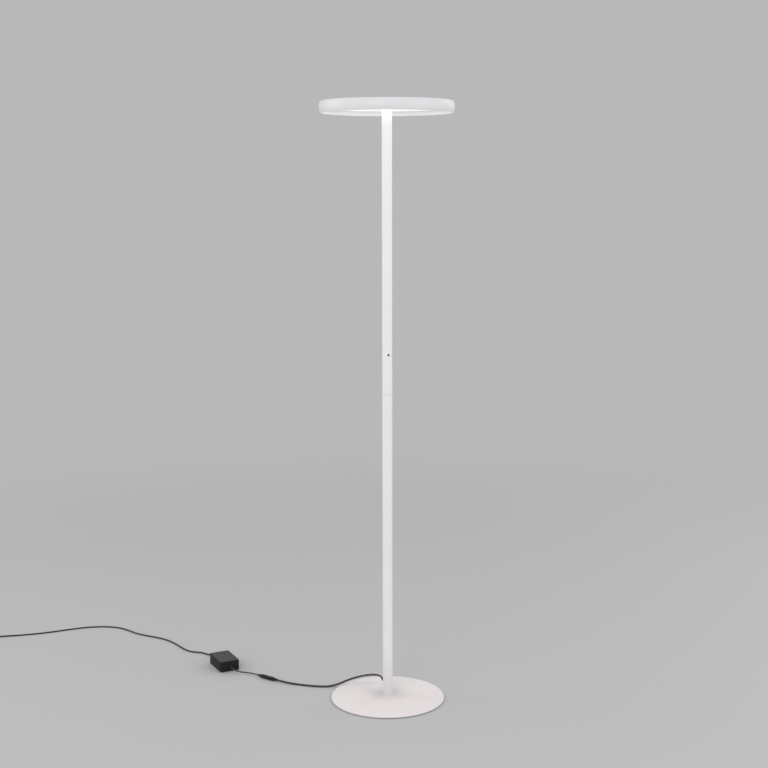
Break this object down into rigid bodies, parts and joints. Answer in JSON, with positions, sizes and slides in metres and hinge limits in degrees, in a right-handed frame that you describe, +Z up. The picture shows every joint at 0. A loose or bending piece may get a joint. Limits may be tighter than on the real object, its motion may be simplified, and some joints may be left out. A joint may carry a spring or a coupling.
{
  "type": "floor lamp",
  "caption": "Free-standing floor lamp: round weighted base, straight two-piece pole with a dimmer button, flat round head that lights up and down, and an inline power adaptor.",
  "frame": {"origin": "on the floor under the centre of the base and pole", "axes": "+Z up along the pole; the dimmer button faces -Y and the lead leaves the pole at +Y"},
  "size_m": [1.5022, 1.137, 1.8],
  "materials": {
    "pole_paint": "satin white powder coat",
    "base_paint": "satin white powder coat",
    "head_paint": "satin white powder coat",
    "iron": "as cast, blackened",
    "felt": "dense felt",
    "steel": "zinc plated",
    "turned_aluminium": "turned",
    "plate_aluminium": "rolled sheet",
    "lead_jacket": "matte black cable jacket",
    "boot_rubber": "moulded black",
    "connector_plastic": "moulded black",
    "case_top_plastic": "fine spark texture, charcoal",
    "case_bottom_plastic": "fine spark texture, black",
    "button_plastic": "dark grey",
    "switch_plastic": "moulded black",
    "circuit_board": "green solder mask",
    "components": "moulded parts",
    "light_board": "white solder mask",
    "light_chip": "phosphor yellow",
    "terminal_plastic": "moulded white",
    "wire_insulation": "coloured insulation",
    "inner_cable_jacket": "white jacket",
    "carrier_plastic": "moulded white",
    "opal": "opal acrylic",
    "nickel": "nickel plated"
  },
  "bodies": {
    "lamp": {"lower_tube": "pole_paint", "upper_tube": "pole_paint", "base_cover": "base_paint", "head_rim": "head_paint", "base_weight": "iron", "base_pad": "felt", "base_screw": "steel", "foot_dowel": "steel", "tube_coupler": "steel", "coupler_screws": "steel", "carrier_screw": "steel", "plate_screws": "steel", "hub_washer": "steel", "hub_nut": "steel", "pole_foot": "turned_aluminium", "head_hub": "turned_aluminium", "heat_plate": "plate_aluminium", "lamp_lead": "lead_jacket", "lamp_lead_inner": "lead_jacket", "cable_gland": "boot_rubber", "socket_body": "connector_plastic", "switch_body": "switch_plastic", "dimmer_board": "circuit_board", "dimmer_parts": "components", "lower_led_board": "light_board", "upper_led_board": "light_board", "lower_leds": "light_chip", "upper_leds": "light_chip", "led_terminals": "terminal_plastic", "pole_wires": "wire_insulation", "led_link_wires": "wire_insulation", "head_cable": "inner_cable_jacket", "board_carrier": "carrier_plastic", "diffuser_retainer": "carrier_plastic", "upper_spacer": "carrier_plastic", "lower_diffuser": "opal", "upper_diffuser": "opal", "socket_pin": "nickel"},
    "dimmer_button": {"dimmer_button": "button_plastic", "switch_plunger": "switch_plastic"},
    "power_supply": {"dc_plug_body": "connector_plastic", "dc_plug_barrel": "nickel", "dc_lead": "lead_jacket", "adaptor_top": "case_top_plastic", "adaptor_bottom": "case_bottom_plastic", "adaptor_board": "circuit_board", "adaptor_transformer": "components", "adaptor_parts": "components", "adaptor_feet": "boot_rubber", "dc_boot": "boot_rubber", "mains_boot": "boot_rubber", "mains_lead": "lead_jacket", "mains_coil": "lead_jacket", "coil_tie": "connector_plastic", "mains_plug": "connector_plastic", "mains_pins": "nickel"}
  },
  "joints": [
    {"name": "dimmer_press", "type": "slide", "parent": "lamp", "child": "dimmer_button", "axis": [0, 1, 0], "range_m": [0, 0.001], "stiffness_N_per_m": 1500},
    {"name": "dc_plug_pull", "type": "slide", "parent": "lamp", "child": "power_supply", "axis": [-0.6259, 0.7799, 0], "range_m": [0, 0.012]}
  ]
}
